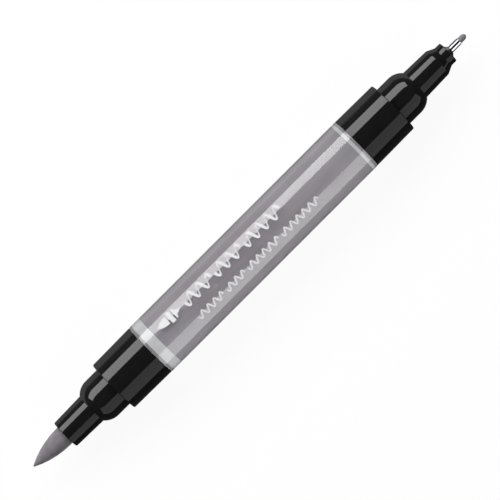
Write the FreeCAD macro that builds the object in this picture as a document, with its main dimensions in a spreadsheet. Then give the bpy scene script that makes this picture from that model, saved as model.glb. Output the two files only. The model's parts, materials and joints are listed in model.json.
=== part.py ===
"""Double-ended felt tip marker: a clear barrel round a fibre ink reservoir, a soft brush nib on one
end and a metal-jacketed bullet nib on the other. Millimetres, +Z up.

The marker lies along X on the plane Z = 0: the brush nib points along -X and the bullet nib along +X.
The origin is under the axis, half way between the two tips. Every piece is turned about the axis.
The pieces of an end are drawn in that end's own coordinates: x is 0 at the barrel's shoulder, which
the grip sleeve butts against, and grows outwards to the tip, and y is the radius.
"""

import FreeCAD
import Part
import math
import os

import Sketcher
from FreeCAD import Placement, Rotation, Vector

# The driving dimensions, in millimetres, as they stand in the spreadsheet.
DIMENSIONS = {
    # Clear barrel
    "barrel_diameter": 14.0,
    "barrel_length": 66.97,  # between the two shoulders
    "bore_diameter": 10.8,
    "spigot_diameter": 12.3,  # the necked-down ends, inside the grip sleeves
    "spigot_length": 8.0,
    "shoulder_round": 0.25,
    "snap_start": 3.4,  # V groove round each spigot for the sleeve's bead
    "snap_width": 1.2,
    "snap_depth": 0.15,
    # Fibre reservoir and the rings that centre it in the bore
    "core_diameter": 10.3,
    "film_thickness": 0.15,
    "brush_ring_gap": 0.69,  # from the shoulder in to the ring's band
    "brush_ring_width": 2.5,
    "bullet_ring_gap": 0.45,
    "bullet_ring_width": 0.95,
    "ring_rim": 1.0,
    "ring_web": 1.0,
    "ring_groove": 0.15,
    "ring_step": 0.15,  # down from the band to the collar that meets the front section
    "vent_diameter": 1.2,
    "vent_circle": 7.0,
    # Grip sleeves, the same on both ends
    "sleeve_length": 11.95,
    "sleeve_rear_diameter": 13.96,
    "sleeve_front_diameter": 13.7,
    "sleeve_lip": 1.8,
    "sleeve_edge": 0.3,
    # Front sections: flange, neck, dome and nose
    "section_start": 0.3,
    "section_wall": 1.05,
    "neck_diameter": 10.9,
    "neck_length": 3.75,  # straight part outside the sleeve
    "neck_relief": 0.2,
    "dome_radius": 4.6,
    "dome_length": 3.44,
    "nose_end_diameter": 7.4,
    "nose_edge": 0.3,
    # Brush end
    "brush_nose_end": 27.65,
    "brush_reach": 37.98,  # from the shoulder to the brush's tip
    "nib_shank_diameter": 4.95,
    "nib_straight": 0.75,  # of the shank, outside the nose
    "nib_tip_radius": 0.23,
    "nib_shoulder": 14.8,
    "nose_bore_diameter": 5.8,
    "mouth_diameter": 5.1,
    "mouth_length": 0.6,
    "rib_width": 0.5,
    "rib_length": 6.5,
    "bush_length": 5.0,
    # Tail and relay wick, which draw ink out of the reservoir
    "wick_diameter": 3.0,
    "wick_depth": 9.5,  # inside the shoulder
    "wick_point": 1.5,
    # Bullet end
    "bullet_taper_start": 26.35,
    "bullet_collar_start": 28.85,
    "bullet_collar_diameter": 5.56,
    "bullet_collar_end": 29.88,
    "bullet_taper_radius": 1.5,
    "bullet_reach": 35.55,  # from the shoulder to the bullet nib's tip
    "bullet_nib_diameter": 1.5,
    "bullet_nib_point": 1.0,  # length of the curved point
    "tube_diameter": 1.75,
    "tube_crimp_diameter": 1.64,
    "tube_bore_diameter": 1.52,
    "tube_start": 22.3,
    "tube_crimp_start": 32.87,
    "tube_end": 33.42,
    "cone_diameter": 3.3,
    "cone_rim": 0.06,
    "cone_length": 0.8,
    "tip_bore_diameter": 5.2,
    "tip_bore_end": 26.1,
    "tip_bush_start": 12.3,
    "tip_bush_flange": 1.5,
    "wick_front": 21.5,
    "wick_socket": 1.5,
    # Running gap between pieces that slip together, on the radius
    "slip": 0.05,
}
RIBS = 6
VENTS = 4
FLUTES = 4

# Where the two shoulders stand on the marker's axis, with the origin half way between the tips.
BRUSH_SHOULDER = "(Dim.brush_reach - Dim.barrel_length - Dim.bullet_reach) / 2"
BULLET_SHOULDER = "(Dim.brush_reach + Dim.barrel_length - Dim.bullet_reach) / 2"

# Radii and stations that several pieces share.
BORE = "Dim.bore_diameter / 2"
SLEEVE_BORE = "Dim.spigot_diameter / 2"
NECK = "Dim.neck_diameter / 2"
NECK_END = "Dim.sleeve_length + Dim.neck_length"
DOME_END = "Dim.sleeve_length + Dim.neck_length + Dim.dome_length"
LIP_START = "Dim.sleeve_length - Dim.sleeve_lip"
SECTION_BORE = "Dim.neck_diameter / 2 - Dim.section_wall"
WICK = "Dim.wick_diameter / 2"
WICK_HOLE = "Dim.wick_diameter / 2 + Dim.slip"
# The seat rings reach from the reservoir to the front sections.
RING_COLLAR = "Dim.bore_diameter / 2 - Dim.slip / 2 - Dim.ring_step"
RING_INSIDE = "Dim.bore_diameter / 2 - Dim.ring_rim"
CORE_START = "Dim.brush_ring_gap + Dim.brush_ring_width"
CORE_END = "Dim.barrel_length - Dim.bullet_ring_gap - Dim.bullet_ring_width"
# The snap groove's outline, outwards from the shoulder.
SNAP = [
    ("Dim.snap_start", SLEEVE_BORE),
    ("Dim.snap_start + Dim.snap_width / 2", f"{SLEEVE_BORE} - Dim.snap_depth"),
    ("Dim.snap_start + Dim.snap_width", SLEEVE_BORE),
]

doc = FreeCAD.newDocument("Marker")


def make_sheet():
    """The spreadsheet of driving dimensions, one plain number to a row, each with its alias."""
    sheet = doc.addObject("Spreadsheet::Sheet", "Dim")
    for row, (alias, size) in enumerate(DIMENSIONS.items(), start=1):
        sheet.set(f"A{row}", alias)
        sheet.set(f"B{row}", str(size))
        sheet.setAlias(f"B{row}", alias)
    doc.recompute()


def value(expression):
    """What an expression comes to now, in millimetres."""
    return float(doc.Dim.evalExpression(expression))


def origin_plane(body, role):
    return next(f for f in body.Origin.OriginFeatures if f.Role == role)


def new_body(label):
    body = doc.addObject("PartDesign::Body", label)
    body.Label = label
    return body


def new_sketch(body, name, plane="XY_Plane"):
    sketch = body.newObject("Sketcher::SketchObject", f"{body.Name}_{name}")
    sketch.AttachmentSupport = [(origin_plane(body, plane), "")]
    sketch.MapMode = "FlatFace"
    return sketch


def bind(sketch, kind, *where, expression):
    """A dimension of the sketch that follows an expression."""
    index = sketch.addConstraint(Sketcher.Constraint(kind, *where, value(expression)))
    sketch.renameConstraint(index, f"{kind}_{index}")
    sketch.setExpression(f"Constraints.{kind}_{index}", expression)


def bind_point(sketch, geometry, end, x, y):
    """Holds one end of a line or arc at (x, y). A value of "0" puts it on that axis; None leaves it free."""
    for kind, expression, axis in (("DistanceX", x, -2), ("DistanceY", y, -1)):
        if expression == "0":
            sketch.addConstraint(Sketcher.Constraint("PointOnObject", geometry, end, axis))
        elif expression is not None:
            bind(sketch, kind, -1, 1, geometry, end, expression=expression)


def arc_between(start, end, radius, side):
    """The arc of that radius between two points, as the sketcher draws arcs, anticlockwise. Side is 1
    when it bulges to the left of the way from start to end and -1 when it bulges to the right."""
    chord = end - start
    left = Vector(-chord.y, chord.x, 0).normalize()
    centre = (start + end) / 2 - left * side * math.sqrt(radius**2 - (chord.Length / 2) ** 2)
    first, last = (end, start) if side > 0 else (start, end)
    angles = [math.atan2(p.y - centre.y, p.x - centre.x) for p in (first, last)]
    if angles[1] < angles[0]:
        angles[1] += 2 * math.pi
    return Part.ArcOfCircle(Part.Circle(centre, Vector(0, 0, 1), radius), *angles)


def draw_outline(sketch, corners):
    """Draws a closed outline. A corner is a dict: x and y, expressions or None with a guess; and for
    the stretch that leads to it, arc (its radius, None for a free one) with side and a radius guess.
    smooth makes the stretches on the corner's two sides tangent."""
    points = []
    for corner in corners:
        gx, gy = corner.get("guess", (None, None))
        points.append(
            Vector(
                value(corner["x"]) if corner["x"] is not None else gx,
                value(corner["y"]) if corner["y"] is not None else gy,
                0,
            )
        )
    stretches = []
    for i, corner in enumerate(corners):
        start, end = points[i - 1], points[i]
        if "arc" not in corner:
            index = sketch.addGeometry(Part.LineSegment(start, end), False)
            stretches.append((index, 1, 2))
            continue
        radius = value(corner["arc"]) if corner["arc"] else corner["radius_guess"]
        index = sketch.addGeometry(arc_between(start, end, radius, corner["side"]), False)
        stretches.append((index, 2, 1) if corner["side"] > 0 else (index, 1, 2))
    for i, corner in enumerate(corners):
        index, _, end = stretches[i]
        after, start, _ = stretches[(i + 1) % len(stretches)]
        meet = "Tangent" if corner.get("smooth") else "Coincident"
        sketch.addConstraint(Sketcher.Constraint(meet, index, end, after, start))
        bind_point(sketch, index, end, corner["x"], corner["y"])
        if corner.get("arc"):
            bind(sketch, "Radius", index, expression=corner["arc"])
    return stretches


def at(x, y, **more):
    """A corner of an outline."""
    return {"x": x, "y": y, **more}


def turn(body, corners, name="profile"):
    """Turns an outline about the marker's axis."""
    sketch = new_sketch(body, name)
    draw_outline(sketch, corners)
    turned = body.newObject("PartDesign::Revolution", f"{body.Name}_turned")
    turned.Profile = sketch
    turned.ReferenceAxis = (sketch, ["H_Axis"])
    turned.Angle = 360
    sketch.Visibility = False
    doc.recompute()
    return turned


def circular_edges(body, x, radius):
    """Names of the body's circular edges round its axis at that station and radius."""
    found = []
    for number, edge in enumerate(body.Tip.Shape.Edges, start=1):
        curve = edge.Curve
        if not isinstance(curve, Part.Circle):
            continue
        if abs(curve.Center.x - x) < 1e-4 and abs(curve.Radius - radius) < 1e-4:
            found.append(f"Edge{number}")
    return found


def round_edges(body, radius, *places):
    """Fillets the circular edges at those (station, radius) places."""
    edges = [e for x, r in places for e in circular_edges(body, value(x), value(r))]
    if len(edges) != len(places):
        raise ValueError(f"{body.Label}: found {len(edges)} of {len(places)} edges to round")
    base = body.Tip
    fillet = body.newObject("PartDesign::Fillet", f"{body.Name}_rounded")
    fillet.Base = (base, edges)
    fillet.setExpression("Radius", radius)
    doc.recompute()


def around(body, feature, count):
    """Repeats a feature evenly round the body's axis."""
    pattern = body.newObject("PartDesign::PolarPattern", f"{feature.Name}_pattern")
    pattern.Originals = [feature]
    pattern.Axis = (origin_plane(body, "X_Axis"), [""])
    pattern.Angle = 360
    pattern.Occurrences = count
    body.Tip = pattern
    doc.recompute()


def drill_vents(body, count):
    """Air holes through a ring, on a circle round the axis."""
    sketch = new_sketch(body, "vent", "YZ_Plane")
    hole = sketch.addGeometry(Part.Circle(Vector(3, 0, 0), Vector(0, 0, 1), 0.5), False)
    sketch.addConstraint(Sketcher.Constraint("PointOnObject", hole, 3, -1))
    bind(sketch, "DistanceX", -1, 1, hole, 3, expression="Dim.vent_circle / 2")
    bind(sketch, "Radius", hole, expression="Dim.vent_diameter / 2")
    vent = body.newObject("PartDesign::Pocket", f"{body.Name}_vent_hole")
    vent.Profile = sketch
    vent.Type = "ThroughAll"
    vent.Midplane = True
    doc.recompute()
    around(body, vent, count)


def longitudinal(body, name, kind, start, length, inner, outer, width, count):
    """Ribs (a Pad) or flutes (a Pocket) along the axis, between two radii, evenly round it."""
    sketch = new_sketch(body, name)
    draw_outline(
        sketch,
        [
            at(start, inner),
            at(f"{start} + {length}", inner),
            at(f"{start} + {length}", outer),
            at(start, outer),
        ],
    )
    feature = body.newObject(f"PartDesign::{kind}", f"{body.Name}_{name}_one")
    feature.Profile = sketch
    feature.Midplane = True
    feature.setExpression("Length", width)
    doc.recompute()
    around(body, feature, count)


def place(body, end=None):
    """Puts a piece on the marker's axis: the brush end's pieces are turned to face -X."""
    if end == "brush":
        body.Placement = Placement(Vector(), Rotation(Vector(0, 0, 1), 180))
    shoulder = BULLET_SHOULDER if end == "bullet" else BRUSH_SHOULDER
    body.setExpression("Placement.Base.x", shoulder)
    body.setExpression("Placement.Base.z", "Dim.barrel_diameter / 2")


def make_barrel():
    """Clear tube with a thinner spigot on each end for the grip sleeves. x is 0 at the brush shoulder."""
    body = new_body("barrel")
    length, outside, spigot = "Dim.barrel_length", "Dim.barrel_diameter / 2", SLEEVE_BORE
    turn(
        body,
        [
            at("-Dim.spigot_length", BORE),
            at(f"{length} + Dim.spigot_length", BORE),
            at(f"{length} + Dim.spigot_length", spigot),
            *[at(f"{length} + {x}", r) for x, r in reversed(SNAP)],
            at(length, spigot),
            at(length, outside),
            at("0", outside),
            at("0", spigot),
            *[at(f"-({x})", r) for x, r in SNAP],
            at("-Dim.spigot_length", spigot),
        ],
    )
    round_edges(body, "Dim.shoulder_round", ("0", outside), (length, outside))
    place(body)


def make_reservoir():
    """Bundle of ink-soaked fibre with a socket at each end for the wicks, and the film it is wrapped in."""
    core = new_body("reservoir_core")
    outside = "Dim.core_diameter / 2"
    tail_end, tail_point = "Dim.wick_depth - Dim.wick_point", "Dim.wick_depth"
    turn(
        core,
        [
            at(tail_point, "0"),
            at(f"Dim.barrel_length - ({tail_point})", "0"),
            at(f"Dim.barrel_length - ({tail_end})", WICK),
            at(CORE_END, WICK),
            at(CORE_END, outside),
            at(CORE_START, outside),
            at(CORE_START, WICK),
            at(tail_end, WICK),
        ],
    )
    place(core)

    film = new_body("reservoir_film")
    film_outside = "Dim.core_diameter / 2 + Dim.film_thickness"
    turn(
        film,
        [
            at(CORE_START, outside),
            at(CORE_END, outside),
            at(CORE_END, film_outside),
            at(CORE_START, film_outside),
        ],
    )
    place(film)


def make_brush_seat_ring():
    """Cup between the reservoir and the front section: a pale band that shows through the barrel, a
    web with air holes and a hub that guides the brush's tail."""
    body = new_body("brush_seat_ring")
    near, far = "-Dim.brush_ring_gap", f"-({CORE_START})"
    rim = f"{BORE} - Dim.slip / 2"
    hub, hub_inside = f"{WICK_HOLE} + Dim.ring_rim", WICK_HOLE
    web = f"{far} + Dim.ring_web"
    turn(
        body,
        [
            at(far, hub_inside),
            at(far, rim),
            at(near, rim),
            at(near, RING_COLLAR),
            at("Dim.section_start", RING_COLLAR),
            at("Dim.section_start", RING_INSIDE),
            at(web, RING_INSIDE),
            at(web, hub),
            at(near, hub),
            at(near, hub_inside),
        ],
    )
    drill_vents(body, VENTS)
    place(body, "brush")


def make_bullet_seat_ring():
    """Thin disc that stops the reservoir and guides the relay wick. Its band has a groove, and its
    collar meets the front section."""
    body = new_body("bullet_seat_ring")
    near = "-Dim.bullet_ring_gap"
    far = "-(Dim.bullet_ring_gap + Dim.bullet_ring_width)"
    middle = "-(Dim.bullet_ring_gap + Dim.bullet_ring_width / 2)"
    rim = f"{BORE} - Dim.slip / 2"
    turn(
        body,
        [
            at(far, WICK_HOLE),
            at(far, rim),
            at(f"{middle} - Dim.ring_groove", rim),
            at(middle, f"{rim} - Dim.ring_groove"),
            at(f"{middle} + Dim.ring_groove", rim),
            at(near, rim),
            at(near, RING_COLLAR),
            at("Dim.section_start", RING_COLLAR),
            at("Dim.section_start", RING_INSIDE),
            at(near, RING_INSIDE),
            at(near, WICK_HOLE),
        ],
    )
    drill_vents(body, VENTS)
    place(body, "bullet")


def make_sleeve(end):
    """Grip sleeve: pressed on the barrel's spigot, its lip holds the front section's flange."""
    body = new_body(f"{end}_sleeve")
    lip_bore = f"{NECK} + Dim.slip"
    front = "Dim.sleeve_front_diameter / 2"
    turn(
        body,
        [
            at("0", SLEEVE_BORE),
            *[at(x, r) for x, r in SNAP],
            at(LIP_START, SLEEVE_BORE),
            at(LIP_START, lip_bore),
            at("Dim.sleeve_length", lip_bore),
            at("Dim.sleeve_length", front),
            at("0", "Dim.sleeve_rear_diameter / 2"),
        ],
    )
    round_edges(body, "Dim.sleeve_edge", ("Dim.sleeve_length", front))
    place(body, end)


def neck_and_dome():
    """Outside of a front section from its rear spigot to the foot of the nose. The neck is a little
    thinner under the sleeve's lip than where the cap grips it."""
    spigot, flange = f"{BORE} - Dim.slip / 2", f"{SLEEVE_BORE} - Dim.slip"
    relieved = f"{NECK} - Dim.neck_relief"
    foot = value(NECK) - value("Dim.dome_radius") + math.sqrt(
        value("Dim.dome_radius") ** 2 - value("Dim.dome_length") ** 2
    )
    return [
        at("Dim.section_start", spigot),
        at("Dim.spigot_length", spigot),
        at("Dim.spigot_length", flange),
        at(LIP_START, flange),
        at(LIP_START, relieved),
        at("Dim.sleeve_length", relieved),
        at("Dim.sleeve_length", NECK),
        at(NECK_END, NECK, smooth=True),
        at(DOME_END, None, guess=(0, foot), arc="Dim.dome_radius", side=1),
    ]


def inner_dome(bore):
    """Inside of a front section, from the nose's bore back to the rear. The dome's wall is even."""
    radius = value("Dim.dome_radius") - value("Dim.section_wall")
    rise = value(bore) - (value(NECK) - value("Dim.dome_radius"))
    station = value(NECK_END) + math.sqrt(radius**2 - rise**2)
    return [
        at(None, bore, guess=(station, 0)),
        at(
            NECK_END,
            SECTION_BORE,
            arc="Dim.dome_radius - Dim.section_wall",
            side=-1,
            smooth=True,
        ),
        at("Dim.section_start", SECTION_BORE),
    ]


def make_brush_front_section():
    """Neck that the cap grips, dome and nose in one moulding, with ribs that grip the nib's shank."""
    body = new_body("brush_front_section")
    nose, mouth = "Dim.nose_end_diameter / 2", "Dim.mouth_diameter / 2"
    nose_bore = "Dim.nose_bore_diameter / 2"
    end = "Dim.brush_nose_end"
    turn(
        body,
        [
            *neck_and_dome(),
            at(end, nose),
            at(end, mouth),
            at(f"{end} - Dim.mouth_length", mouth),
            at(f"{end} - Dim.mouth_length", nose_bore),
            *inner_dome(nose_bore),
        ],
    )
    round_edges(body, "Dim.nose_edge", (end, nose))
    longitudinal(
        body,
        "rib",
        "Pad",
        f"{end} - Dim.mouth_length - Dim.rib_length",
        "Dim.rib_length",
        "Dim.nib_shank_diameter / 2",
        f"{nose_bore} + Dim.slip",
        "Dim.rib_width",
        RIBS,
    )
    place(body, "brush")


def make_brush_nib():
    """Soft fibre brush in one piece: a tail that runs into the reservoir, a shank and a pointed ogive."""
    body = new_body("brush_nib")
    shank, tip = "Dim.nib_shank_diameter / 2", "Dim.nib_tip_radius"
    straight_end = "Dim.brush_nose_end + Dim.nib_straight"
    reach = value("Dim.brush_reach") - value(tip) - value(straight_end)
    ogive = (reach**2 + value(shank) ** 2 - value(tip) ** 2) / 2 / (value(shank) - value(tip))
    tilt = math.atan2(reach, ogive - value(shank))
    touch = (
        value("Dim.brush_reach") - value(tip) + value(tip) * math.sin(tilt),
        value(tip) * math.cos(tilt),
    )
    sketch = new_sketch(body, "profile")
    stretches = draw_outline(
        sketch,
        [
            at("-Dim.wick_depth", "0"),
            at("Dim.wick_point - Dim.wick_depth", WICK),
            at("Dim.nib_shoulder", WICK),
            at("Dim.nib_shoulder", shank),
            at(straight_end, shank, smooth=True),
            at(None, None, guess=touch, arc=None, radius_guess=ogive, side=1, smooth=True),
            at("Dim.brush_reach", "0", arc=tip, side=1),
        ],
    )
    sketch.addConstraint(Sketcher.Constraint("PointOnObject", stretches[-1][0], 3, -1))
    turned = body.newObject("PartDesign::Revolution", "brush_nib_turned")
    turned.Profile = sketch
    turned.ReferenceAxis = (sketch, ["H_Axis"])
    turned.Angle = 360
    doc.recompute()
    place(body, "brush")


def make_brush_nib_bush():
    """Plug in the front section that the nib's shoulder rests on, fluted to let air past the tail."""
    body = new_body("brush_nib_bush")
    outside = SECTION_BORE
    start = "Dim.nib_shoulder - Dim.bush_length"
    turn(
        body,
        [
            at(start, WICK_HOLE),
            at("Dim.nib_shoulder", WICK_HOLE),
            at("Dim.nib_shoulder", outside),
            at(start, outside),
        ],
    )
    longitudinal(
        body,
        "flute",
        "Pocket",
        start,
        "Dim.bush_length",
        f"{outside} - Dim.ring_rim",
        f"{outside} + Dim.slip",
        "Dim.vent_diameter",
        FLUTES,
    )
    place(body, "brush")


def make_bullet_front_section():
    """Neck, dome and nose that narrows to the collar round the metal tip."""
    body = new_body("bullet_front_section")
    nose, collar = "Dim.nose_end_diameter / 2", "Dim.bullet_collar_diameter / 2"
    tube_hole, tip_bore = "Dim.tube_diameter / 2 + Dim.slip / 2", "Dim.tip_bore_diameter / 2"
    slope = math.atan2(
        value(nose) - value(collar),
        value("Dim.bullet_collar_start") - value("Dim.bullet_taper_start"),
    )
    bend = value("Dim.bullet_taper_radius")
    meet = (
        value("Dim.bullet_collar_start") - bend * math.sin(slope),
        value(collar) + bend * (1 - math.cos(slope)),
    )
    turn(
        body,
        [
            *neck_and_dome(),
            at("Dim.bullet_taper_start", nose),
            at(None, None, guess=meet, smooth=True),
            at("Dim.bullet_collar_start", collar, arc="Dim.bullet_taper_radius", side=-1, smooth=True),
            at("Dim.bullet_collar_end", collar),
            at("Dim.bullet_collar_end", tube_hole),
            at("Dim.tip_bore_end", tube_hole),
            at("Dim.tip_bore_end", tip_bore),
            *inner_dome(tip_bore),
        ],
    )
    edges = [("Dim.bullet_taper_start", nose), ("Dim.bullet_collar_end", collar)]
    round_edges(body, "Dim.nose_edge", *edges)
    place(body, "bullet")


def make_bullet_tip_bush():
    """Plug in the nose that holds the metal tube's rear end and meets the relay wick."""
    body = new_body("bullet_tip_bush")
    outside, flange = "Dim.tip_bore_diameter / 2 - Dim.slip", SECTION_BORE
    step = "Dim.tip_bush_start + Dim.tip_bush_flange"
    tube_hole = "Dim.tube_diameter / 2 + Dim.slip / 2"
    turn(
        body,
        [
            at("Dim.tip_bush_start", WICK_HOLE),
            at("Dim.wick_front + Dim.slip", WICK_HOLE),
            at("Dim.wick_front + Dim.slip", tube_hole),
            at("Dim.tip_bore_end", tube_hole),
            at("Dim.tip_bore_end", outside),
            at(step, outside),
            at(step, flange),
            at("Dim.tip_bush_start", flange),
        ],
    )
    longitudinal(
        body,
        "flute",
        "Pocket",
        "Dim.tip_bush_start",
        "Dim.tip_bush_flange",
        f"{flange} - Dim.ring_rim",
        f"{flange} + Dim.slip",
        "Dim.vent_diameter",
        FLUTES,
    )
    place(body, "bullet")


def make_bullet_tip_tube():
    """Drawn metal jacket: a tube crimped at its mouth, with a cone that seats on the collar."""
    body = new_body("bullet_tip_tube")
    tube, bore = "Dim.tube_diameter / 2", "Dim.tube_bore_diameter / 2"
    cone, seat = "Dim.cone_diameter / 2", "Dim.bullet_collar_end"
    turn(
        body,
        [
            at("Dim.tube_start", bore),
            at("Dim.tube_end", bore),
            at("Dim.tube_end", "Dim.tube_crimp_diameter / 2"),
            at("Dim.tube_crimp_start", tube),
            at(f"{seat} + Dim.cone_length", tube),
            at(f"{seat} + Dim.cone_rim", cone),
            at(seat, cone),
            at(seat, tube),
            at("Dim.tube_start", tube),
        ],
    )
    place(body, "bullet")


def make_bullet_nib():
    """Hard fibre rod with a bullet-shaped point, held in the metal tube."""
    body = new_body("bullet_nib")
    radius = "Dim.bullet_nib_diameter / 2"
    curve = f"(Dim.bullet_nib_point ^ 2 / ({radius}) + {radius}) / 2"
    turn(
        body,
        [
            at("Dim.wick_front - Dim.wick_socket", "0"),
            at("Dim.wick_front - Dim.wick_socket", radius),
            at("Dim.bullet_reach - Dim.bullet_nib_point", radius),
            at("Dim.bullet_reach", "0", arc=curve, side=1),
        ],
    )
    place(body, "bullet")


def make_bullet_relay_wick():
    """Fibre wick from the reservoir to the rear of the nib, with a socket for the nib."""
    body = new_body("bullet_relay_wick")
    socket_end = "Dim.wick_front - Dim.wick_socket"
    turn(
        body,
        [
            at("-Dim.wick_depth", "0"),
            at("Dim.wick_point - Dim.wick_depth", WICK),
            at("Dim.wick_front", WICK),
            at("Dim.wick_front", "Dim.bullet_nib_diameter / 2"),
            at(socket_end, "Dim.bullet_nib_diameter / 2"),
            at(socket_end, "0"),
        ],
    )
    place(body, "bullet")


def write_parts():
    """Checks every object and writes one STEP file per piece."""
    doc.recompute()
    for item in doc.Objects:
        if set(item.State) & {"Invalid", "Error"}:
            raise RuntimeError(f"{item.Label} did not build: {item.State}")
    for sketch in doc.findObjects("Sketcher::SketchObject"):
        if sketch.solve() or not sketch.FullyConstrained:
            raise RuntimeError(f"{sketch.Label} is not fully constrained")
    os.makedirs("parts", exist_ok=True)
    for body in doc.findObjects("PartDesign::Body"):
        shape = body.Shape
        if shape.isNull() or not shape.isValid() or len(shape.Solids) != 1:
            raise RuntimeError(f"{body.Label} is not one valid solid")
        shape.exportStep(f"parts/{body.Label}.step")
        box = shape.optimalBoundingBox(False, False)
        along = f"X {box.XMin:.2f} to {box.XMax:.2f}"
        up = f"Z {box.ZMin:.2f} to {box.ZMax:.2f}"
        print(f"{body.Label:22s} {shape.Volume:8.2f} mm3, {along}, {up}")


make_sheet()
make_barrel()
make_reservoir()
make_brush_seat_ring()
make_bullet_seat_ring()
for marker_end in ("brush", "bullet"):
    make_sleeve(marker_end)
make_brush_front_section()
make_brush_nib()
make_brush_nib_bush()
make_bullet_front_section()
make_bullet_tip_bush()
make_bullet_tip_tube()
make_bullet_nib()
make_bullet_relay_wick()
write_parts()
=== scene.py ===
"""Looks of the double-ended felt tip marker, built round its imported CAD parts. Lengths are in metres.

The marker lies along X on the floor at Z = 0, with the brush nib towards -X. Every visible piece is a
fine turned mesh that stands for its CAD node, with small edge rounds and exact normals, so that the
strip lights draw straight reflections on it.
"""

import json
import math

import bpy
from mathutils import Matrix, Vector

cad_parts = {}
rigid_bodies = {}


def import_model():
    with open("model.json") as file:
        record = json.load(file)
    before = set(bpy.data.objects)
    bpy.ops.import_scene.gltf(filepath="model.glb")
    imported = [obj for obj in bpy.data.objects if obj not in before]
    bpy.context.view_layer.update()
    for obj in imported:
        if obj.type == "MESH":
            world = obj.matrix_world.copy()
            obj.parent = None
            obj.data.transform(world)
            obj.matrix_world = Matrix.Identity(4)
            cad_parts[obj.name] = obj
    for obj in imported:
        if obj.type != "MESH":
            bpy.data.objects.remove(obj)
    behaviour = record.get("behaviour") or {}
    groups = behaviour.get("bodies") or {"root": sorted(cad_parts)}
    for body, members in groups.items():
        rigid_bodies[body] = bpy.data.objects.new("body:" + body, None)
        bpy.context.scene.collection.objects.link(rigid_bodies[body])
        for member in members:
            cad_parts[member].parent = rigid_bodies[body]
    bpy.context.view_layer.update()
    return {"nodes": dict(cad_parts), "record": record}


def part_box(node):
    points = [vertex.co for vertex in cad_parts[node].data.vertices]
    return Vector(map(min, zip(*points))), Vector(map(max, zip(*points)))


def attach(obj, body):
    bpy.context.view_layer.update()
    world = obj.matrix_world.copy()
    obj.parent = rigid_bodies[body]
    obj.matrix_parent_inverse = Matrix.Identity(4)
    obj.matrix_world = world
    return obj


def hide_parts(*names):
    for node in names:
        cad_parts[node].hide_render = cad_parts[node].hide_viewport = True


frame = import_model()

MM = 0.001
TURN_STEPS = 144  # facets round the axis
ARC_STEP = math.radians(6)  # along a rounded stretch of an outline

# Stations along the axis and the radii that the frame gives.
BRUSH_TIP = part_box("brush_nib")[0].x
BRUSH_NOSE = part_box("brush_front_section")[0].x
BRUSH_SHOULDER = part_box("brush_sleeve")[1].x
BULLET_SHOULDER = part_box("bullet_sleeve")[0].x
BULLET_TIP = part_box("bullet_nib")[1].x
COLLAR_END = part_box("bullet_front_section")[1].x
AXIS = (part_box("barrel")[0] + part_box("barrel")[1]) / 2
BARREL_R = (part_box("barrel")[1].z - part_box("barrel")[0].z) / 2


def radius_of(node):
    """Radius of a turned CAD node, from its height."""
    low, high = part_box(node)
    return (high.z - low.z) / 2


SHANK_R = radius_of("brush_nib")
NIB_R = radius_of("bullet_nib")
POINT_LENGTH = 1.0 * MM
CONE_R = radius_of("bullet_tip_tube")
MOUNTS = {m["name"]: m for m in frame["record"]["mounts"]}
NECK_R = MOUNTS["brush_cap_seat"]["dims"]["r_mm"] * MM

# Sizes inside one node, outwards from the barrel's shoulder. The outlines that show follow the CAD
# model to 0.03 mm, apart from the taper before the bullet end's collar, which is up to 0.11 mm slimmer.
# The film and rings are larger, to touch the bore, and a few hidden sizes are simpler or 0.3 mm off.
SLEEVE_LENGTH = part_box("bullet_sleeve")[1].x - BULLET_SHOULDER
SLEEVE_REAR_R = radius_of("bullet_sleeve")
SLEEVE_FRONT_R = 6.85 * MM
SPIGOT_R = 6.15 * MM
SPIGOT_LENGTH = 8.0 * MM
BORE_R = 5.4 * MM
CONTACT_R = BORE_R + 0.01 * MM  # the film and the rings wet the bore, so that no air shows round them
LIP_START = 10.15 * MM
LIP_BORE_R = 5.5 * MM
NECK_LENGTH = MOUNTS["brush_cap_seat"]["dims"]["length_mm"] * MM
DOME_RADIUS = 4.6 * MM
DOME_LENGTH = 3.44 * MM
NOSE_END_R = 3.70 * MM
MOUTH_R = 2.55 * MM
NIB_TIP_R = 0.23 * MM
TAPER_START = 26.35 * MM
COLLAR_START = 28.85 * MM
COLLAR_R = 2.78 * MM
TUBE_R = 0.875 * MM
TUBE_END = 33.42 * MM
CRIMP_START = 32.87 * MM
CRIMP_R = 0.82 * MM
SECTION_START = 0.3 * MM  # both front sections start here, against the seat rings
SECTION_BORE_R = 4.4 * MM
INSERT_R = 5.375 * MM  # inside the barrel
FLANGE_R = 6.1 * MM  # between the spigot's end and the sleeve's lip
RELIEF_R = 5.25 * MM  # inside the sleeve's mouth
BRUSH_BORE_START, BRUSH_BORE_END = 15 * MM, 16.5 * MM  # where the bore narrows to the brush's mouth
BULLET_BORE_START, BULLET_BORE_END = 17 * MM, 20 * MM  # where the bore narrows to the bush's front
BUSH_FRONT_R = 2.6 * MM
TAIL_TIP, TAIL_START = -9.5 * MM, -8 * MM  # the brush nib's tail, pushed into the reservoir
TAIL_R = 1.5 * MM
NIB_SHOULDER = 14.8 * MM  # where the tail steps up to the shank
SHANK_SHOWN = 0.75 * MM  # straight part of the brush outside its nose
TUBE_START = 22 * MM
NIB_START = 19.7 * MM
CONE_RIM = 0.06 * MM
CONE_LENGTH = 0.8 * MM
RING_HOLE_R = 1.55 * MM
RING_WEB = 0.95 * MM


# Outlines. A span is a list of (x, r, normal x, normal r); an outline is a list of spans.


def line(x0, r0, x1, r1):
    """A straight stretch. Its normal points to the left of the way along it."""
    length = math.hypot(x1 - x0, r1 - r0)
    nx, nr = -(r1 - r0) / length, (x1 - x0) / length
    return [(x0, r0, nx, nr), (x1, r1, nx, nr)]


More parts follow.
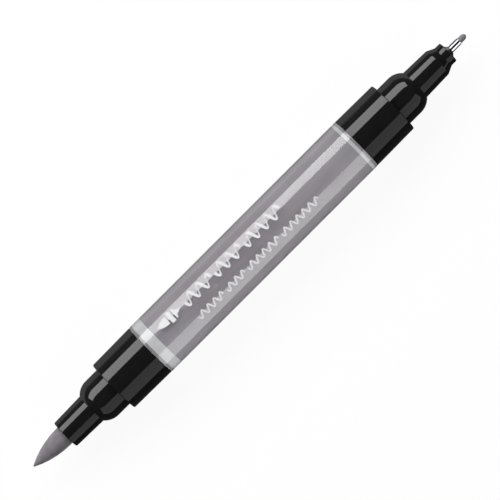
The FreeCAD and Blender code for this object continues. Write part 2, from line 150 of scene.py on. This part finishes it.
def arc(cx, cr, radius, start, end):
    """A round stretch about (cx, cr) between two angles from +X, clockwise when its end is the smaller
    angle. Its normal points to the left of the way along it."""
    steps = max(2, math.ceil(abs(end - start) / ARC_STEP))
    sign = 1 if end < start else -1
    span = []
    for i in range(steps + 1):
        a = start + (end - start) * i / steps
        c, s = math.cos(a), math.sin(a)
        span.append((cx + radius * c, cr + radius * s, sign * c, sign * s))
    return span


def corners(*points):
    """Straight stretches through points (x, r, round), with an arc of that radius at each corner."""
    spans = []
    here = points[0][:2]
    for i in range(1, len(points)):
        x, r, bend = points[i]
        if i == len(points) - 1 or bend == 0:
            spans.append(line(*here, x, r))
            here = (x, r)
            continue
        before = Vector((x - points[i - 1][0], r - points[i - 1][1])).normalized()
        after = Vector((points[i + 1][0] - x, points[i + 1][1] - r)).normalized()
        turn = before.angle_signed(after)  # positive turns clockwise
        reach = bend * math.tan(abs(turn) / 2)
        start = Vector((x, r)) - before * reach
        end = Vector((x, r)) + after * reach
        side = Vector((before.y, -before.x)) * (1 if turn > 0 else -1)
        centre = start + side * bend
        first = math.atan2(start.y - centre.y, start.x - centre.x)
        spans.append(line(*here, *start))
        spans.append(arc(*centre, bend, first, first - turn))
        here = tuple(end)
    return spans


def turned(name, spans, outwards=1, origin=0.0):
    """A piece turned about the marker's axis from an outline. Outwards is -1 on the brush end, where x
    grows towards -X, and origin is where x is 0."""
    verts, faces, normals, rings = [], [], [], {}

    def ring(x, r):
        key = (round(x * 1e7), round(r * 1e7))
        if key not in rings:
            rings[key] = len(verts)
            count = 1 if r < 1e-8 else TURN_STEPS
            for i in range(count):
                a = 2 * math.pi * i / TURN_STEPS
                place = (origin + outwards * x, AXIS.y + r * math.sin(a), AXIS.z + r * math.cos(a))
                verts.append(place)
        return rings[key]

    def normal(nx, nr, i):
        a = 2 * math.pi * i / TURN_STEPS
        return (outwards * nx, nr * math.sin(a), nr * math.cos(a))

    for span in spans:
        for (x0, r0, nx0, nr0), (x1, r1, nx1, nr1) in zip(span, span[1:]):
            if math.hypot(x1 - x0, r1 - r0) < 1e-8:
                continue
            a, b = ring(x0, r0), ring(x1, r1)
            for i in range(TURN_STEPS):
                j = (i + 1) % TURN_STEPS
                if r0 < 1e-8:
                    corner = [(a, nx0, nr0, i), (b + i, nx1, nr1, i), (b + j, nx1, nr1, i + 1)]
                elif r1 < 1e-8:
                    corner = [(a + i, nx0, nr0, i), (b, nx1, nr1, i), (a + j, nx0, nr0, i + 1)]
                else:
                    corner = [
                        (a + i, nx0, nr0, i),
                        (b + i, nx1, nr1, i),
                        (b + j, nx1, nr1, i + 1),
                        (a + j, nx0, nr0, i + 1),
                    ]
                if outwards < 0:
                    corner.reverse()
                faces.append([c[0] for c in corner])
                normals.extend(normal(*c[1:]) for c in corner)
    mesh = bpy.data.meshes.new(name)
    mesh.from_pydata(verts, [], faces)
    mesh.update()
    mesh.shade_smooth()
    mesh.normals_split_custom_set(normals)
    piece = bpy.data.objects.new(name, mesh)
    bpy.context.scene.collection.objects.link(piece)
    return piece


def stand_for(piece, slot, *nodes):
    """The piece rides on the marker's one body and hides its nodes; the slot argument is not used."""
    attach(piece, "root")
    if nodes:
        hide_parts(*nodes)
    return piece


# Materials

FILM_LOW = (0.385, 0.362, 0.394)
FILM_HIGH = (0.430, 0.404, 0.440)
PALE_LOW = (0.78, 0.80, 0.81)
PALE_HIGH = (0.84, 0.86, 0.87)
BRUSH_GAP = 0.69 * MM  # from each shoulder in to where the painted shade on its ring stops
BULLET_GAP = 0.58 * MM
SHADE_EDGE = 0.05 * MM  # width of the soft edge where the painted shade stops
# Painted shade: a darker, film-like colour on the seat rings' collars next to the sleeves, where shade falls
RING_SHADE_LOW = (0.43, 0.405, 0.44)
RING_SHADE_HIGH = (0.48, 0.45, 0.49)


def new_material(name):
    """A material, its Principled shader and a function that adds a node with some sockets set."""
    material = bpy.data.materials.new(name)
    material.use_nodes = True
    tree = material.node_tree
    shader = tree.nodes["Principled BSDF"]

    def node(kind, **sockets):
        made = tree.nodes.new(kind)
        for socket, value in sockets.items():
            key = socket.replace("_", " ")
            if isinstance(value, bpy.types.NodeSocket):
                tree.links.new(value, made.inputs[key])
            else:
                made.inputs[key].default_value = value
        return made

    return material, shader, node, tree.links.new


def stretched_place(node, scale):
    """Object coordinates in millimetres, scaled along each axis."""
    place = node("ShaderNodeTexCoord").outputs["Object"]
    return node("ShaderNodeMapping", Vector=place, Scale=[s / MM for s in scale]).outputs["Vector"]


def ramp(node, factor, *stops):
    """A colour ramp from a factor. Stops are (position, grey or colour)."""
    made = node("ShaderNodeValToRGB", Fac=factor)
    elements = made.color_ramp.elements
    while len(elements) < len(stops):
        elements.new(0.5)
    for element, (position, colour) in zip(elements, stops):
        element.position = position
        element.color = (colour,) * 3 + (1,) if isinstance(colour, float) else (*colour, 1)
    return made.outputs["Color"]


def average(node, first, second):
    """The mean of two factors."""
    return node("ShaderNodeMix", Factor=0.5, A=first, B=second).outputs["Result"]


def noise(node, scale, size, detail, roughness=0.5):
    """Noise in object space, stretched by a scale along each axis."""
    place = stretched_place(node, scale)
    made = node("ShaderNodeTexNoise", Vector=place, Scale=size, Detail=detail, Roughness=roughness)
    return made.outputs["Fac"]


def set_sockets(shader, **sockets):
    """Sets uniform values on the shader's own sockets."""
    for socket, value in sockets.items():
        shader.inputs[socket.replace("_", " ")].default_value = value


def make_black_plastic():
    """Polished black moulding: faint flow marks in the gloss and a trace of dust-like mottling."""
    material, shader, node, link = new_material("black_plastic")
    flow = noise(node, (0.25, 1, 1), 0.9, 4.0, 0.55)
    fine = noise(node, (0.25, 1, 1), 14.0, 3.0, 0.6)
    colour = ramp(node, flow, (0.3, (0.0070, 0.0070, 0.0074)), (0.7, (0.0095, 0.0095, 0.0098)))
    link(colour, shader.inputs["Base Color"])
    link(ramp(node, flow, (0.3, 0.025), (0.75, 0.05)), shader.inputs["Roughness"])
    bump = node("ShaderNodeBump", Height=fine, Strength=0.012, Distance=0.02 * MM)
    link(bump.outputs["Normal"], shader.inputs["Normal"])
    set_sockets(shader, IOR=1.5)
    return material


def make_clear_plastic():
    """Water-clear moulding with a hard gloss."""
    material, shader, node, link = new_material("clear_plastic")
    wipe = noise(node, (0.1, 1, 1), 0.6, 3.0)
    link(ramp(node, wipe, (0.3, 0.01), (0.8, 0.03)), shader.inputs["Coat Roughness"])
    set_sockets(
        shader,
        Base_Color=(0.985, 0.985, 0.99, 1),
        Transmission_Weight=1.0,
        Roughness=0.0,
        IOR=1.49,
        Coat_Weight=0.8,
        Coat_IOR=1.5,
    )
    return material


def make_ink_film():
    """Ink-coloured film round the reservoir: long faint streaks and slow mottling."""
    material, shader, node, link = new_material("ink_film")
    streak = noise(node, (0.02, 1.2, 1.2), 1.0, 4.0)
    cloud = noise(node, (0.3, 1, 1), 0.25, 3.0)
    colour = ramp(node, average(node, streak, cloud), (0.35, FILM_LOW), (0.65, FILM_HIGH))
    link(colour, shader.inputs["Base Color"])
    link(ramp(node, streak, (0.3, 0.45), (0.7, 0.6)), shader.inputs["Roughness"])
    return material


def make_natural_plastic():
    """Uncoloured milky plastic of the bushes."""
    material, shader, node, link = new_material("natural_plastic")
    cloud = noise(node, (1, 1, 1), 0.8, 4.0)
    link(ramp(node, cloud, (0.3, PALE_LOW), (0.7, PALE_HIGH)), shader.inputs["Base Color"])
    link(ramp(node, cloud, (0.3, 0.35), (0.7, 0.5)), shader.inputs["Roughness"])
    return material


def make_ring_plastic():
    """The same plastic on the seat rings, with painted shade on the collars outside their bands: they are
    coloured darker there, like the ink film.
    """
    material, shader, node, link = new_material("ring_plastic")
    place = node("ShaderNodeTexCoord").outputs["Object"]
    cloud = noise(node, (1, 1, 1), 0.8, 4.0)
    pale = ramp(node, cloud, (0.3, PALE_LOW), (0.7, PALE_HIGH))
    # painted shade: the darker colour of the collars beside the sleeves
    shaded = ramp(node, cloud, (0.35, RING_SHADE_LOW), (0.65, RING_SHADE_HIGH))
    along = node("ShaderNodeSeparateXYZ", Vector=place).outputs["X"]
    least = node("ShaderNodeMath")
    least.operation = "MINIMUM"
    edges = ((BRUSH_SHOULDER + BRUSH_GAP, SHADE_EDGE / 2), (BULLET_SHOULDER - BULLET_GAP, -SHADE_EDGE / 2))
    for socket, (edge, reach) in zip(least.inputs, edges):
        unshaded = node("ShaderNodeMapRange", Value=along, From_Min=edge - reach, From_Max=edge + reach)
        link(unshaded.outputs["Result"], socket)
    colour = node("ShaderNodeMix")
    colour.data_type = "RGBA"
    sockets = [i for i in colour.inputs if i.type == "RGBA"]
    link(least.outputs[0], colour.inputs["Factor"])
    link(shaded, sockets[0])
    link(pale, sockets[1])
    link([o for o in colour.outputs if o.type == "RGBA"][0], shader.inputs["Base Color"])
    link(ramp(node, cloud, (0.3, 0.35), (0.7, 0.5)), shader.inputs["Roughness"])
    return material


def make_fibre(name, dark, light, lay):
    """Bonded fibre: strands along the marker's axis, darker between them, with ink mottling."""
    material, shader, node, link = new_material(name)
    strand = noise(node, (0.25, lay, lay), 1.0, 6.0, 0.65)
    cloud = noise(node, (0.5, 0.8, 0.8), 1.0, 3.0)
    link(ramp(node, average(node, strand, cloud), (0.3, dark), (0.7, light)), shader.inputs["Base Color"])
    link(ramp(node, strand, (0.3, 0.75), (0.7, 0.95)), shader.inputs["Roughness"])
    bump = node("ShaderNodeBump", Height=strand, Strength=0.35, Distance=0.05 * MM)
    link(bump.outputs["Normal"], shader.inputs["Normal"])
    set_sockets(shader, Sheen_Weight=0.1)
    return material


def make_tip_steel():
    """Drawn steel, rather dark between its reflections, with fine lines along the tube."""
    material, shader, node, link = new_material("tip_steel")
    drawn = noise(node, (0.3, 12, 12), 1.0, 4.0)
    colour = ramp(node, drawn, (0.3, (0.36, 0.36, 0.37)), (0.7, (0.44, 0.44, 0.45)))
    link(colour, shader.inputs["Base Color"])
    link(ramp(node, drawn, (0.3, 0.08), (0.7, 0.16)), shader.inputs["Roughness"])
    set_sockets(shader, Metallic=1.0)
    return material


def make_print_ink():
    """White screen-printing ink with a faint mottle."""
    material, shader, node, link = new_material("print_ink")
    grain = noise(node, (1, 1, 1), 6.0, 3.0)
    colour = ramp(node, grain, (0.3, (0.64, 0.64, 0.65)), (0.7, (0.71, 0.71, 0.72)))
    link(colour, shader.inputs["Base Color"])
    link(ramp(node, grain, (0.3, 0.5), (0.7, 0.62)), shader.inputs["Roughness"])
    return material


# Pieces


def make_barrel(material):
    """The clear tube, necked down to a spigot under each sleeve."""
    length = BULLET_SHOULDER - BRUSH_SHOULDER
    reach = SPIGOT_LENGTH
    spans = corners(
        (-reach, BORE_R, 0),
        (-reach, SPIGOT_R, 0),
        (0, SPIGOT_R, 0),
        (0, BARREL_R, 0.25 * MM),
        (length, BARREL_R, 0.25 * MM),
        (length, SPIGOT_R, 0),
        (length + reach, SPIGOT_R, 0),
        (length + reach, BORE_R, 0),
        (-reach, BORE_R, 0),
    )
    piece = turned("barrel_tube", spans, origin=BRUSH_SHOULDER)
    piece.data.materials.append(material)
    return stand_for(piece, "clear_barrel", "barrel")


def make_film(material):
    """The ink-coloured film round the reservoir, touching the clear tube."""
    low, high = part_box("reservoir_film")
    core_r = radius_of("reservoir_core")
    spans = corners(
        (0, core_r, 0),
        (0, CONTACT_R, 0),
        (high.x - low.x, CONTACT_R, 0),
        (high.x - low.x, core_r, 0),
        (0, core_r, 0),
    )
    piece = turned("ink_film", spans, origin=low.x)
    piece.data.materials.append(material)
    return stand_for(piece, "reservoir_film", "reservoir_film")


def make_sleeve(end, material):
    """Grip sleeve with a light taper, softened edges and its lip."""
    outwards, origin = (-1, BRUSH_SHOULDER) if end == "brush" else (1, BULLET_SHOULDER)
    spans = corners(
        (0, SPIGOT_R, 0),
        (0, SLEEVE_REAR_R, 0.08 * MM),
        (SLEEVE_LENGTH, SLEEVE_FRONT_R, 0.3 * MM),
        (SLEEVE_LENGTH, LIP_BORE_R, 0.08 * MM),
        (LIP_START, LIP_BORE_R, 0),
        (LIP_START, SPIGOT_R, 0),
        (0, SPIGOT_R, 0),
    )
    piece = turned(f"{end}_grip_sleeve", spans, outwards, origin)
    piece.data.materials.append(material)
    return stand_for(piece, "black_plastic", f"{end}_sleeve")


def neck_and_dome():
    """Outline of a front section from inside the barrel to the foot of its nose."""
    neck_end = SLEEVE_LENGTH + NECK_LENGTH
    foot = math.acos(DOME_LENGTH / DOME_RADIUS)
    return [
        *corners(
            (SECTION_START, SECTION_BORE_R, 0),
            (SECTION_START, INSERT_R, 0),
            (SPIGOT_LENGTH, INSERT_R, 0),
            (SPIGOT_LENGTH, FLANGE_R, 0),
            (LIP_START, FLANGE_R, 0),
            (LIP_START, RELIEF_R, 0),
            (SLEEVE_LENGTH, RELIEF_R, 0),
            (SLEEVE_LENGTH, NECK_R, 0),
            (neck_end, NECK_R, 0),
        ),
        arc(neck_end, NECK_R - DOME_RADIUS, DOME_RADIUS, math.pi / 2, foot),
    ]


def make_brush_front(material):
    """Front section of the brush end: neck, dome and a tapered nose with a round mouth."""
    spans = neck_and_dome()
    foot_x, foot_r = spans[-1][-1][:2]
    nose = BRUSH_SHOULDER - BRUSH_NOSE
    spans += corners(
        (foot_x, foot_r, 0),
        (nose, NOSE_END_R, 0.3 * MM),
        (nose, MOUTH_R, 0.1 * MM),
        (BRUSH_BORE_END, MOUTH_R, 0),
        (BRUSH_BORE_START, SECTION_BORE_R, 0),
        (SECTION_START, SECTION_BORE_R, 0),
    )
    piece = turned("brush_front", spans, -1, BRUSH_SHOULDER)
    piece.data.materials.append(material)
    return stand_for(piece, "black_plastic", "brush_front_section")


def make_bullet_front(material):
    """Front section of the bullet end: neck, dome, nose, taper and the collar the metal cone sits on."""
    spans = neck_and_dome()
    foot_x, foot_r = spans[-1][-1][:2]
    end = COLLAR_END - BULLET_SHOULDER
    spans += corners(
        (foot_x, foot_r, 0),
        (TAPER_START, NOSE_END_R, 0.5 * MM),
        (COLLAR_START - 0.6 * MM, COLLAR_R, 1.2 * MM),
        (end, COLLAR_R, 0.25 * MM),
        (end, TUBE_R, 0),
        (TAPER_START, TUBE_R, 0),
        (TAPER_START, BUSH_FRONT_R, 0),
        (BULLET_BORE_END, BUSH_FRONT_R, 0),
        (BULLET_BORE_START, SECTION_BORE_R, 0),
        (SECTION_START, SECTION_BORE_R, 0),
    )
    piece = turned("bullet_front", spans, 1, BULLET_SHOULDER)
    piece.data.materials.append(material)
    return stand_for(piece, "black_plastic", "bullet_front_section")


def make_brush_nib(material):
    """The pointed brush, with its shank and tail."""
    nose = BRUSH_SHOULDER - BRUSH_NOSE
    reach = BRUSH_SHOULDER - BRUSH_TIP
    straight = nose + SHANK_SHOWN
    rise = SHANK_R - NIB_TIP_R
    run = reach - NIB_TIP_R - straight
    ogive = (run**2 + SHANK_R**2 - NIB_TIP_R**2) / 2 / rise
    touch = math.atan2(ogive - SHANK_R, run)
    spans = [
        *corners(
            (TAIL_TIP, 0, 0),
            (TAIL_START, TAIL_R, 0),
            (NIB_SHOULDER, TAIL_R, 0),
            (NIB_SHOULDER, SHANK_R, 0.1 * MM),
            (straight, SHANK_R, 0),
        ),
        arc(straight, SHANK_R - ogive, ogive, math.pi / 2, touch),
        arc(reach - NIB_TIP_R, 0, NIB_TIP_R, touch, 0),
    ]
    piece = turned("brush_nib_point", spans, -1, BRUSH_SHOULDER)
    piece.data.materials.append(material)
    return stand_for(piece, "brush_fibre", "brush_nib")


def make_bullet_tip(steel, fibre):
    """The metal tube with its cone, and the fibre rod inside it."""
    seat = COLLAR_END - BULLET_SHOULDER
    spans = corners(
        (TUBE_START, NIB_R, 0),
        (TUBE_START, TUBE_R, 0),
        (seat, TUBE_R, 0),
        (seat, CONE_R, 0),
        (seat + CONE_RIM, CONE_R, 0.02 * MM),
        (seat + CONE_LENGTH, TUBE_R, 0.12 * MM),
        (CRIMP_START, TUBE_R, 0.4 * MM),
        (TUBE_END, CRIMP_R, 0.03 * MM),
        (TUBE_END, NIB_R, 0),
        (TUBE_START, NIB_R, 0),
    )
    tube = turned("bullet_tube", spans, 1, BULLET_SHOULDER)
    tube.data.materials.append(steel)
    stand_for(tube, "tip_steel", "bullet_tip_tube")
    reach = BULLET_TIP - BULLET_SHOULDER
    curve = (POINT_LENGTH**2 / NIB_R + NIB_R) / 2
    spans = [
        *corners((NIB_START, 0, 0), (NIB_START, NIB_R, 0), (reach - POINT_LENGTH, NIB_R, 0)),
        arc(reach - POINT_LENGTH, NIB_R - curve, curve, math.pi / 2, math.asin(1 - NIB_R / curve)),
    ]
    nib = turned("bullet_nib_point", spans, 1, BULLET_SHOULDER)
    nib.data.materials.append(fibre)
    stand_for(nib, "bullet_fibre", "bullet_nib")


def make_ring(end, material):
    """Seat ring: the pale band that shows through the barrel, with the collar beside it that meets the
    front section."""
    node = f"{end}_seat_ring"
    low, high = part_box(node)
    outwards, shoulder = (-1, BRUSH_SHOULDER) if end == "brush" else (1, BULLET_SHOULDER)
    far, near = sorted(outwards * (x - shoulder) for x in (low.x, high.x))
    rim = corners(
        (far, RING_HOLE_R, 0),
        (far, CONTACT_R, 0),
        (near, CONTACT_R, 0),
        (near, SECTION_BORE_R, 0),
        (far + RING_WEB, SECTION_BORE_R, 0),
        (far + RING_WEB, RING_HOLE_R, 0),
        (far, RING_HOLE_R, 0),
    )
    piece = turned(f"{end}_ring", rim, outwards, shoulder)
    piece.data.materials.append(material)
    return stand_for(piece, "natural_plastic", node)


PICTURE_X = -27.5 * MM
INK_LANES = 4  # faces across a printed mark
INK_SINK = 0.004 * MM
INK_THICK = 0.012 * MM
WAVE_STEPS = 24  # for each turn of a wavy stroke
TOP_ROW, LOW_ROW = -2.1 * MM, 2.72 * MM
TOP_SWING, LOW_SWING = 1.4 * MM, 0.85 * MM
TOP_PITCH, LOW_PITCH = 2.85 * MM, 1.95 * MM
TOP_THIN, TOP_THICK, LOW_LINE = 0.24 * MM, 0.7 * MM, 0.36 * MM
TOP_STROKES = ((-18.9, 3), (-9.35, 3), (0.2, 4))  # where each stroke starts, and its turns
LOW_LINES = ((-18.9, 4), (-10.0, 3), (-3.05, 5), (7.8, 6))


def printed(name, rails, material):
    """A closed patch of ink on the barrel. Each rail is one (x, across) edge point and its opposite one;
    across runs round the barrel from its top towards -Y."""
    verts, normals, faces, face_normals = [], [], [], []
    count = INK_LANES + 1

    def on_barrel(x, across, r):
        a = -across / BARREL_R
        return Vector((x, AXIS.y + r * math.sin(a), AXIS.z + r * math.cos(a)))

    for r in (BARREL_R - INK_SINK, BARREL_R + INK_THICK):
        for (x0, c0), (x1, c1) in rails:
            for lane in range(count):
                t = lane / INK_LANES
                verts.append(on_barrel(x0 + (x1 - x0) * t, c0 + (c1 - c0) * t, r))
    layer = len(rails) * count
    last = len(rails) - 1
    for i in range(last):
        for lane in range(INK_LANES):
            a = i * count + lane
            quad = [a, a + 1, a + 1 + count, a + count]
            faces.append(quad)
            faces.append([v + layer for v in reversed(quad)])
        for lane in (0, INK_LANES):
            a = i * count + lane
            edge = [a, a + count, a + count + layer, a + layer]
            faces.append(edge if lane == 0 else edge[::-1])
    for i in (0, last):
        for lane in range(INK_LANES):
            a = i * count + lane
            edge = [a, a + 1, a + 1 + layer, a + layer]
            faces.append(edge[::-1] if i == 0 else edge)
    mesh = bpy.data.meshes.new(name)
    mesh.from_pydata(verts, [], faces)
    mesh.update()
    tops = [f for f in mesh.polygons if min(f.vertices) >= layer]
    if sum(f.normal.dot(radial(f.center)) for f in tops) < 0:
        mesh.flip_normals()
    mesh.shade_smooth()
    for polygon in mesh.polygons:
        for loop in polygon.loop_indices:
            top = min(polygon.vertices) >= layer
            v = mesh.vertices[mesh.loops[loop].vertex_index].co
            normals.append(radial(v) if top else polygon.normal)
    mesh.normals_split_custom_set(normals)
    piece = bpy.data.objects.new(name, mesh)
    bpy.context.scene.collection.objects.link(piece)
    piece.data.materials.append(material)
    return stand_for(piece, "print_white")


def radial(point):
    """Straight out from the marker's axis."""
    return Vector((0, point[1] - AXIS.y, point[2] - AXIS.z)).normalized()


def wave(start, end, middle, swing, turns, thin, thick):
    """Rails of a wavy stroke along the barrel. It is thick where it runs down and thin where it runs up."""
    rails = []
    steps = WAVE_STEPS * turns
    for i in range(steps + 1):
        t = i / steps
        phase = 2 * math.pi * turns * t
        slope = swing * math.cos(phase) * 2 * math.pi * turns / (end - start)
        nx, nc = -slope / math.hypot(slope, 1), 1 / math.hypot(slope, 1)
        half = (thin + (thick - thin) * (0.5 + 0.5 * math.cos(phase))) / 2
        x = start + (end - start) * t
        across = middle + swing * math.sin(phase)
        rails.append(((x - nx * half, across - nc * half), (x + nx * half, across + nc * half)))
    return rails


def bars(x_sizes, middle):
    """Rails of a shape that is symmetric about a line along the barrel. Sizes are (x, half height)."""
    return [((x, middle - half), (x, middle + half)) for x, half in x_sizes]


def make_prints(material):
    """White printed marks: a little picture of a marker with both nibs, brush strokes and fine lines."""
    leaf = [(3.0 * i / 10, 1.05 * math.sin(0.5 * math.pi * (i / 10) ** 0.75) + 0.02) for i in range(11)]
    grip = [(3.45, 1.5), (4.55, 1.5)]
    point = [(5.0, 1.3), (5.3, 1.3), (5.9, 0.5), (6.35, 0.5), (6.35, 0.2), (7.3, 0.2)]
    for name, shape in (("brush", leaf), ("grip", grip), ("point", point)):
        sizes = [(PICTURE_X + x * MM, half * MM) for x, half in shape]
        printed(f"print_picture_{name}", bars(sizes, TOP_ROW), material)
    for i, (x, turns) in enumerate(TOP_STROKES):
        end = x * MM + TOP_PITCH * turns
        rails = wave(x * MM, end, TOP_ROW, TOP_SWING, turns, TOP_THIN, TOP_THICK)
        printed(f"print_brush_stroke_{i + 1}", rails, material)
    for i, (x, turns) in enumerate(LOW_LINES):
        end = x * MM + LOW_PITCH * turns
        rails = wave(x * MM, end, LOW_ROW, LOW_SWING, turns, LOW_LINE, LOW_LINE)
        printed(f"print_fine_line_{i + 1}", rails, material)


def keep_node(node, material):
    """A CAD node that stays as it is, inside the marker, with a better material."""
    frame["nodes"][node].data.materials.clear()
    frame["nodes"][node].data.materials.append(material)


# Stage


FLOOR_HALF = 12.0
FLOOR_GREY = 0.065
FLOOR_GLOW = 0.94  # keeps the floor pale although it takes little light
LAMP_FACTOR = 0.905  # an area lamp's radiance times pi times its area, over its power
KEY, FILL, BARREL_FILL, TIP_FILL = 3.95, 0.62, 1.45, 2.7  # radiance of each strip
VIEW_DISTANCE = 0.85
VIEW_WIDTH = 0.115
AIM_ACROSS, AIM_RIGHT = 0.16 * MM, 0.2 * MM  # small shifts that centre the marker in the picture
SPILL = (
    (0.0, 0.3),
    (0.12, 0.1),
    (0.15, 0.34),
    (0.24, 0.38),
    (0.33, 0.48),
    (0.4, 0.52),
    (0.425, 0.06),
    (1.0, 0.02),
)  # height in the room, from straight down at 0 to straight up at 1, and the grey there
SHADE = 0.03  # the other half of the room


def make_floor():
    """Plain pale floor, large enough for every view."""
    mesh = bpy.data.meshes.new("floor")
    signs = ((-1, -1), (1, -1), (1, 1), (-1, 1))
    mesh.from_pydata([(x * FLOOR_HALF, y * FLOOR_HALF, 0) for x, y in signs], [], [(0, 1, 2, 3)])
    floor = bpy.data.objects.new("floor", mesh)
    bpy.context.scene.collection.objects.link(floor)
    material, shader, node, link = new_material("floor")
    grey = (FLOOR_GREY, FLOOR_GREY, FLOOR_GREY, 1)
    set_sockets(shader, Base_Color=grey, Roughness=0.9, Specular_IOR_Level=0.0)
    set_sockets(shader, Emission_Color=(1, 1, 1, 1), Emission_Strength=FLOOR_GLOW)
    mesh.materials.append(material)
    floor.visible_glossy = False


def make_strip(name, low_angle, high_angle, side, distance, length, radiance):
    """A long softbox beside the marker. It shows between two angles from straight up, seen from the axis."""
    middle, half = (low_angle + high_angle) / 2, (high_angle - low_angle) / 2
    a = math.radians(middle)
    light = bpy.data.lights.new(name, "AREA")
    light.shape = "RECTANGLE"
    light.size = length
    light.size_y = 2 * distance * math.tan(math.radians(half))
    light.energy = radiance * math.pi * light.size * light.size_y / LAMP_FACTOR
    lamp = bpy.data.objects.new(name, light)
    towards = Vector((0, side * math.sin(a), math.cos(a)))
    lamp.location = AXIS + towards * distance
    along = Vector((1, 0, 0))
    lamp.rotation_euler = Matrix((along, towards.cross(along), towards)).transposed().to_euler()
    lamp.visible_camera = False
    bpy.context.scene.collection.objects.link(lamp)
    return lamp


def light_only(lamp, starts):
    """Lets the lamp light only the pieces whose names start this way."""
    lit = bpy.data.collections.new(lamp.name + "_lit")
    for piece in bpy.data.objects:
        if piece.name.startswith(starts):
            lit.objects.link(piece)
    lamp.light_linking.receiver_collection = lit


def make_world():
    """Dark studio room, with the light that spills low down on the key light's side."""
    world = bpy.data.worlds.new("studio")
    world.use_nodes = True
    tree = world.node_tree

    def node(kind, **settings):
        made = tree.nodes.new(kind)
        for name, value in settings.items():
            setattr(made, name, value)
        return made

    place = node("ShaderNodeTexCoord")
    split = node("ShaderNodeSeparateXYZ")
    tree.links.new(place.outputs["Generated"], split.inputs[0])
    height = node("ShaderNodeMapRange")
    height.inputs["From Min"].default_value = -1.0
    tree.links.new(split.outputs["Z"], height.inputs["Value"])
    spill = node("ShaderNodeValToRGB")
    while len(spill.color_ramp.elements) < len(SPILL):
        spill.color_ramp.elements.new(0.5)
    for element, (position, grey) in zip(spill.color_ramp.elements, SPILL):
        element.position = position
        element.color = (grey, grey, grey, 1)
    tree.links.new(height.outputs["Result"], spill.inputs["Fac"])
    side = node("ShaderNodeMath", operation="GREATER_THAN")
    side.inputs[1].default_value = 0.0
    tree.links.new(split.outputs["Y"], side.inputs[0])
    both = node("ShaderNodeMix", data_type="RGBA")
    both.inputs["A"].default_value = (SHADE, SHADE, SHADE, 1)
    tree.links.new(side.outputs[0], both.inputs["Factor"])
    tree.links.new(spill.outputs["Color"], both.inputs["B"])
    tree.links.new(both.outputs["Result"], tree.nodes["Background"].inputs["Color"])
    bpy.context.scene.world = world


def make_camera():
    """Looks straight down, with the marker running from the lower left to the upper right."""
    camera = bpy.data.cameras.new("camera")
    camera.sensor_width = 36
    camera.lens = camera.sensor_width * VIEW_DISTANCE / VIEW_WIDTH
    camera.clip_start = 0.01
    camera.clip_end = 20
    eye = bpy.data.objects.new("camera", camera)
    right = Vector((1, -1, 0)).normalized()
    up = Vector((1, 1, 0)).normalized()
    eye.location = Vector((0, AIM_ACROSS, AXIS.z + VIEW_DISTANCE)) + right * AIM_RIGHT
    eye.rotation_euler = Matrix((right, up, Vector((0, 0, 1)))).transposed().to_euler()
    bpy.context.scene.collection.objects.link(eye)
    bpy.context.scene.camera = eye


black = make_black_plastic()
clear = make_clear_plastic()
film = make_ink_film()
natural = make_natural_plastic()
ring_plastic = make_ring_plastic()
brush_fibre = make_fibre("brush_fibre", (0.13, 0.12, 0.135), (0.245, 0.225, 0.25), 6)
bullet_fibre = make_fibre("bullet_fibre", (0.15, 0.14, 0.155), (0.27, 0.25, 0.275), 9)
steel = make_tip_steel()

make_barrel(clear)
make_film(film)
for side_name in ("brush", "bullet"):
    make_sleeve(side_name, black)
    make_ring(side_name, ring_plastic)
make_brush_front(black)
make_bullet_front(black)
make_brush_nib(brush_fibre)
make_bullet_tip(steel, bullet_fibre)
make_prints(make_print_ink())
keep_node("reservoir_core", bullet_fibre)
keep_node("bullet_relay_wick", bullet_fibre)
keep_node("brush_nib_bush", natural)
keep_node("bullet_tip_bush", natural)

make_floor()
make_strip("key", 30.6, 66.3, 1, 0.6, 1.4, KEY)
make_strip("fill", 37.5, 89.5, -1, 0.6, 1.4, FILL)
barrel_fill = make_strip("barrel_fill", 38.2, 88.6, -1, 0.5, 1.3, BARREL_FILL)
light_only(barrel_fill, ("barrel_tube", "ink_film", "brush_ring", "bullet_ring", "print_"))
tip_fill = make_strip("tip_fill", 40, 84, -1, 0.4, 1.2, TIP_FILL)
light_only(tip_fill, ("bullet_tube",))
make_world()
make_camera()
scene = bpy.context.scene
scene.view_settings.view_transform = "Standard"
